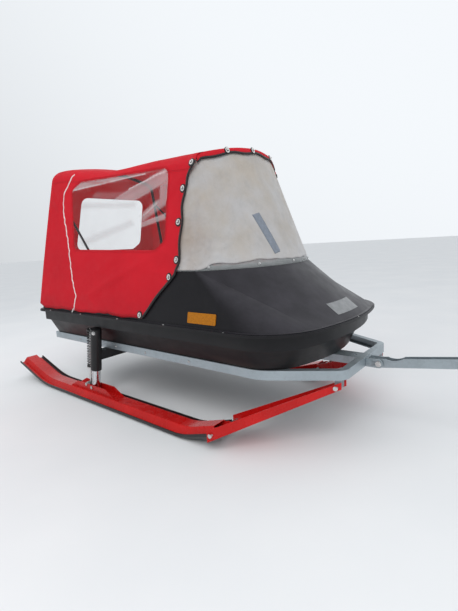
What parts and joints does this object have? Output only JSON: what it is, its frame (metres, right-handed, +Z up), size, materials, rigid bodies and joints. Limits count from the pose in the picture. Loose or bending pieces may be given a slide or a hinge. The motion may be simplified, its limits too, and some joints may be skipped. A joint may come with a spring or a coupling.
{
  "type": "passenger sled",
  "caption": "Covered passenger sled: hollow black tub with hood, windshield and red cloth canopy on a channel frame, carried by sprung skis and towed by a hinged drawbar.",
  "frame": {"origin": "centre of the overall box at the floor under the skis, with the drawbar as stored", "axes": "+X forward to the tow eye, +Y to the sled's left, +Z up"},
  "size_m": [3.3412, 1.2278, 1.4698],
  "materials": {
    "black_plastic": "satin",
    "film_sheet": "satin",
    "red_cloth": "satin",
    "clear_vinyl": "gloss",
    "black_steel": "satin",
    "black_vinyl": "satin",
    "galvanised": "satin",
    "grey_label": "satin",
    "zinc": "satin",
    "chrome": "gloss",
    "spring_steel": "satin",
    "red_steel": "gloss",
    "sole_plastic": "satin",
    "amber": "gloss"
  },
  "bodies": {
    "sled": {"tub": "black_plastic", "deck": "black_plastic", "windshield": "film_sheet", "canopy": "red_cloth", "rear_window": "clear_vinyl", "front_hoop": "black_steel", "rear_hoop": "black_steel", "seat_cushion": "black_vinyl", "seat_back": "black_vinyl", "front_bow": "galvanised", "rear_cross_member": "galvanised", "middle_cross_member": "galvanised", "mid_beam": "galvanised", "strut_beam": "black_steel", "number_plate": "grey_label", "drawbar_clevis": "galvanised", "drawbar_pin": "zinc", "side_window_left": "clear_vinyl", "stay_left": "black_steel", "side_rail_left": "galvanised", "strut_tube_left": "black_steel", "strut_leg_left": "chrome", "strut_spring_left": "spring_steel", "spring_rod_left": "zinc", "ski_left": "red_steel", "ski_sole_left": "sole_plastic", "arm_left": "red_steel", "suspension_pins_left": "zinc", "reflector_left": "amber", "side_window_right": "clear_vinyl", "stay_right": "black_steel", "side_rail_right": "galvanised", "strut_tube_right": "black_steel", "strut_leg_right": "chrome", "strut_spring_right": "spring_steel", "spring_rod_right": "zinc", "ski_right": "red_steel", "ski_sole_right": "sole_plastic", "arm_right": "red_steel", "suspension_pins_right": "zinc", "reflector_right": "amber"},
    "towbar": {"drawbar": "galvanised"}
  },
  "joints": [
    {"name": "drawbar_hinge", "type": "hinge", "parent": "sled", "child": "towbar", "pos_m": [0.78436, 0, 0.326], "axis": [0, -1, 0], "range_deg": [-28, 78]}
  ]
}
